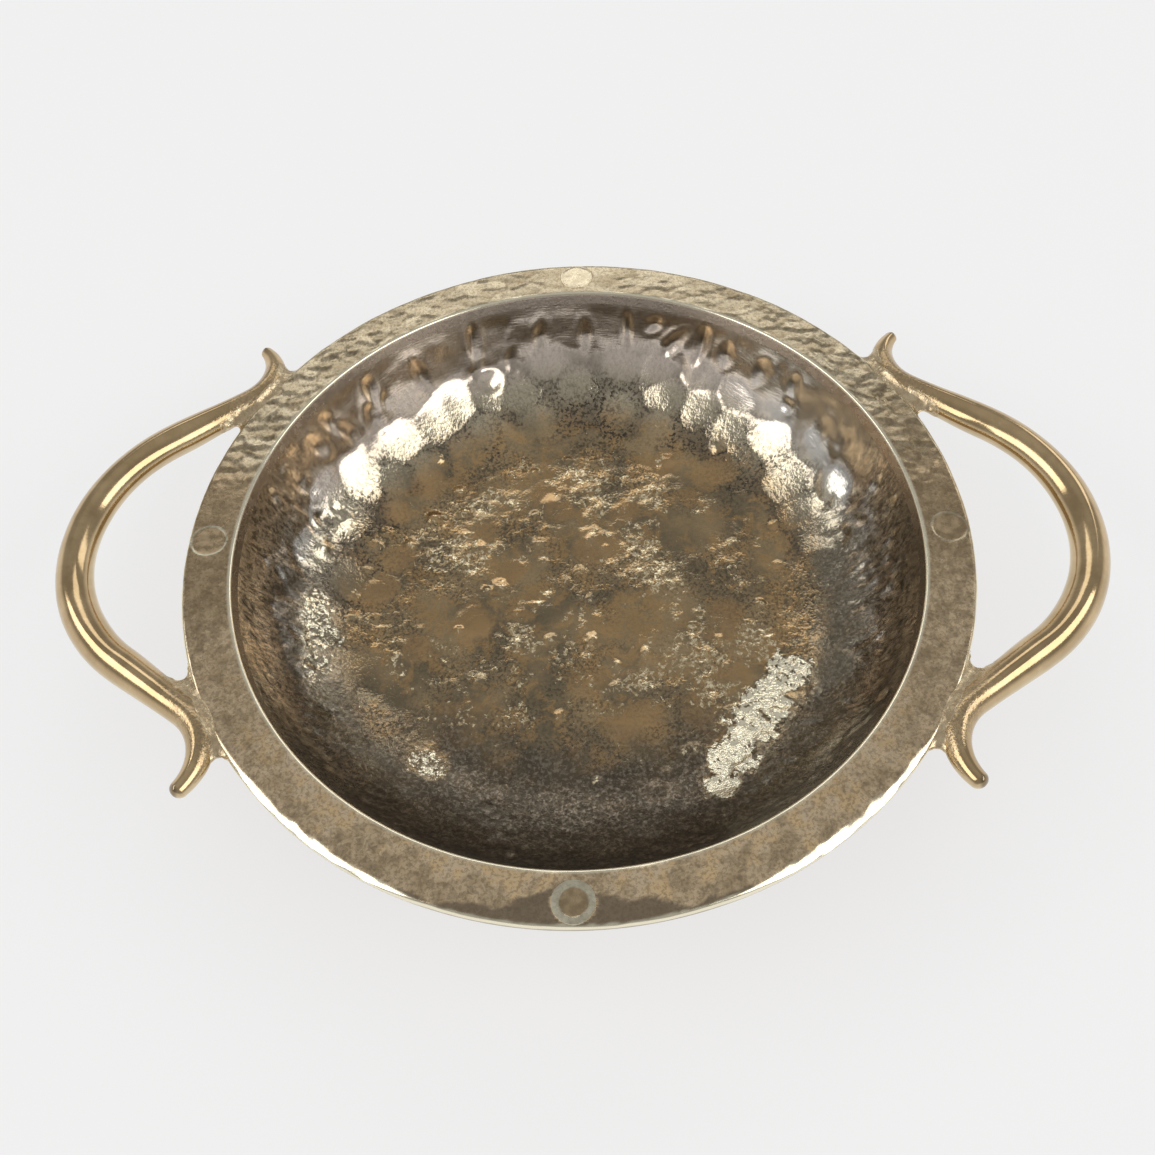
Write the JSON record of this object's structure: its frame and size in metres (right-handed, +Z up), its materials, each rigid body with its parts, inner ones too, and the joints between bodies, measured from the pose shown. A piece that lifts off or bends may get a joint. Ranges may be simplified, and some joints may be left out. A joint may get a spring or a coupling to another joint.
{
  "type": "handled brass bowl",
  "caption": "Shallow round hammered brass bowl with a flat rippled rim and looped side handles with flared ends, for serving or display.",
  "frame": {"origin": "middle of the flat base, on the surface that the bowl stands on", "axes": "+Z up, out of the bowl's mouth; X runs through both handles, Y across them"},
  "size_m": [0.24, 0.18, 0.0352],
  "materials": {
    "shell_brass": "hammered, dark patina, satin",
    "rim_brass": "peened, worn patina, satin",
    "rivet_brass": "worn, satin",
    "handle_brass": "polished",
    "braze_alloy": "rough, as brazed"
  },
  "bodies": {
    "root": {"bowl_shell": "shell_brass", "rim_band": "rim_brass", "rivet_far": "rivet_brass", "rivet_near": "rivet_brass", "rivet_left": "rivet_brass", "rivet_right": "rivet_brass", "handle_left": "handle_brass", "handle_right": "handle_brass", "braze_left_far": "braze_alloy", "braze_left_near": "braze_alloy", "braze_right_far": "braze_alloy", "braze_right_near": "braze_alloy"}
  },
  "joints": []
}
